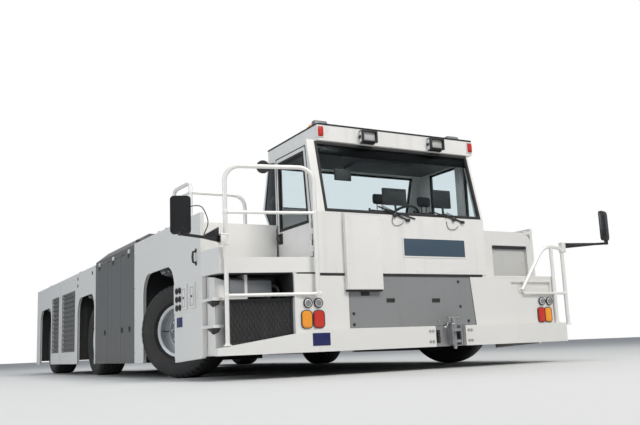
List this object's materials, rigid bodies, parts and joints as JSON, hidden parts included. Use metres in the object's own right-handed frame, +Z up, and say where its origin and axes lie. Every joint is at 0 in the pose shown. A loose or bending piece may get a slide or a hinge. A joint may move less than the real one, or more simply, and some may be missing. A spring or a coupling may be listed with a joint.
{
  "type": "towbarless aircraft pushback tractor",
  "caption": "Low flat-decked aircraft pushback tractor with a front cab, guard rails, steered wheels and an open rear bay with a turning nose gear cradle.",
  "frame": {"origin": "centre of the footprint, on the ground under the middle of the bounding box", "axes": "+X to the tractor's left, +Y to its rear, +Z up; the cab and bumper face -Y"},
  "size_m": [5.52, 10.36, 2.6743],
  "materials": {
    "white_paint": "semi-gloss, slightly dusty",
    "grey_paint": "satin",
    "chassis_black": "matt",
    "black_plastic": "matt",
    "seat_fabric": "woven",
    "glass": "lightly tinted",
    "tyre": "matt, worn",
    "rim_paint": "satin",
    "steel": "worn",
    "cast_leg": "painted casting",
    "amber_lens": "clear coated",
    "red_lens": "clear coated",
    "lamp_lens": "clear coated"
  },
  "bodies": {
    "chassis": {"chassis_frame": "chassis_black", "engine_blocks": "grey_paint", "deck_plates": "white_paint", "mid_hood": "grey_paint", "wheel_wells": "chassis_black", "side_front": "white_paint", "side_mid": "white_paint", "side_rear": "white_paint", "arm_ends": "white_paint", "louvres": "chassis_black", "front_body": "white_paint", "front_bumper": "white_paint", "front_hatch": "grey_paint", "radiator_pack": "chassis_black", "hood_left": "white_paint", "platform_right": "white_paint", "cab_shell": "white_paint", "cab_roof": "white_paint", "cab_glass": "glass", "cab_seats": "seat_fabric", "cab_dash": "black_plastic", "wipers": "black_plastic", "lamps_amber": "amber_lens", "lamps_red": "red_lens", "lamps_white": "lamp_lens", "hoop_right": "white_paint", "guard_rails": "white_paint", "mirrors": "black_plastic", "tow_coupling": "steel", "cradle_carrier": "chassis_black", "legs_mid": "cast_leg"},
    "side_door_right": {"side_door_right": "grey_paint"},
    "side_door_left": {"side_door_left": "grey_paint"},
    "cab_door": {"cab_door": "white_paint", "cab_door_glass": "glass"},
    "cradle_turret": {"cradle_turret": "steel"},
    "cradle_ramp": {"cradle_ramp": "steel"},
    "steer_front_right": {"leg_front_right": "cast_leg"},
    "wheel_front_right": {"rim_front_right": "rim_paint", "tyre_front_right": "tyre"},
    "steer_front_left": {"leg_front_left": "cast_leg"},
    "wheel_front_left": {"rim_front_left": "rim_paint", "tyre_front_left": "tyre"},
    "wheel_mid_right": {"rim_mid_right": "rim_paint", "tyre_mid_right": "tyre"},
    "wheel_mid_left": {"rim_mid_left": "rim_paint", "tyre_mid_left": "tyre"},
    "steer_rear_right": {"leg_rear_right": "cast_leg"},
    "wheel_rear_right": {"rim_rear_right": "rim_paint", "tyre_rear_right": "tyre"},
    "steer_rear_left": {"leg_rear_left": "cast_leg"},
    "wheel_rear_left": {"rim_rear_left": "rim_paint", "tyre_rear_left": "tyre"}
  },
  "joints": [
    {"name": "side_door_right_lift", "type": "hinge", "parent": "chassis", "child": "side_door_right", "pos_m": [-2.259, -0.9075, 1.585], "axis": [0, 1, 0], "range_deg": [0, 75]},
    {"name": "side_door_left_lift", "type": "hinge", "parent": "chassis", "child": "side_door_left", "pos_m": [2.259, -0.9075, 1.585], "axis": [0, -1, 0], "range_deg": [0, 75]},
    {"name": "cab_door_swing", "type": "hinge", "parent": "chassis", "child": "cab_door", "pos_m": [-1.214, -4.732, 1.5], "axis": [0, 0, 1], "range_deg": [0, 85]},
    {"name": "cradle_turn", "type": "hinge", "parent": "chassis", "child": "cradle_turret", "pos_m": [0, 1.82, 0.2], "axis": [0, 0, 1], "range_deg": [-60, 60]},
    {"name": "cradle_ramp_fold", "type": "hinge", "parent": "chassis", "child": "cradle_ramp", "pos_m": [0, 2.655, 0.22], "axis": [-1, 0, 0], "range_deg": [0, 100]},
    {"name": "front_steer_right", "type": "hinge", "parent": "chassis", "child": "steer_front_right", "pos_m": [-1.91, -2.914, 0.536], "axis": [0, 0, 1], "range_deg": [-72, 4]},
    {"name": "front_spin_right", "type": "hinge", "parent": "steer_front_right", "child": "wheel_front_right", "pos_m": [-1.91, -2.914, 0.536], "axis": [0.829, 0.5592, 0], "continuous": true},
    {"name": "front_steer_left", "type": "hinge", "parent": "chassis", "child": "steer_front_left", "pos_m": [1.91, -2.914, 0.536], "axis": [0, 0, 1], "range_deg": [-72, 4]},
    {"name": "front_spin_left", "type": "hinge", "parent": "steer_front_left", "child": "wheel_front_left", "pos_m": [1.91, -2.914, 0.536], "axis": [0.829, 0.5592, 0], "continuous": true},
    {"name": "mid_spin_right", "type": "hinge", "parent": "chassis", "child": "wheel_mid_right", "pos_m": [-1.91, 0.782, 0.536], "axis": [1, 0, 0], "continuous": true},
    {"name": "mid_spin_left", "type": "hinge", "parent": "chassis", "child": "wheel_mid_left", "pos_m": [1.91, 0.782, 0.536], "axis": [1, 0, 0], "continuous": true},
    {"name": "rear_steer_right", "type": "hinge", "parent": "chassis", "child": "steer_rear_right", "pos_m": [-1.91, 4.227, 0.536], "axis": [0, 0, 1], "range_deg": [-38, 38]},
    {"name": "rear_spin_right", "type": "hinge", "parent": "steer_rear_right", "child": "wheel_rear_right", "pos_m": [-1.91, 4.227, 0.536], "axis": [1, 0, 0], "continuous": true},
    {"name": "rear_steer_left", "type": "hinge", "parent": "chassis", "child": "steer_rear_left", "pos_m": [1.91, 4.227, 0.536], "axis": [0, 0, 1], "range_deg": [-38, 38]},
    {"name": "rear_spin_left", "type": "hinge", "parent": "steer_rear_left", "child": "wheel_rear_left", "pos_m": [1.91, 4.227, 0.536], "axis": [1, 0, 0], "continuous": true}
  ],
  "couplings": [
    {"joint": "front_steer_left", "follows": "front_steer_right", "ratio": 1},
    {"joint": "rear_steer_left", "follows": "rear_steer_right", "ratio": 1}
  ]
}
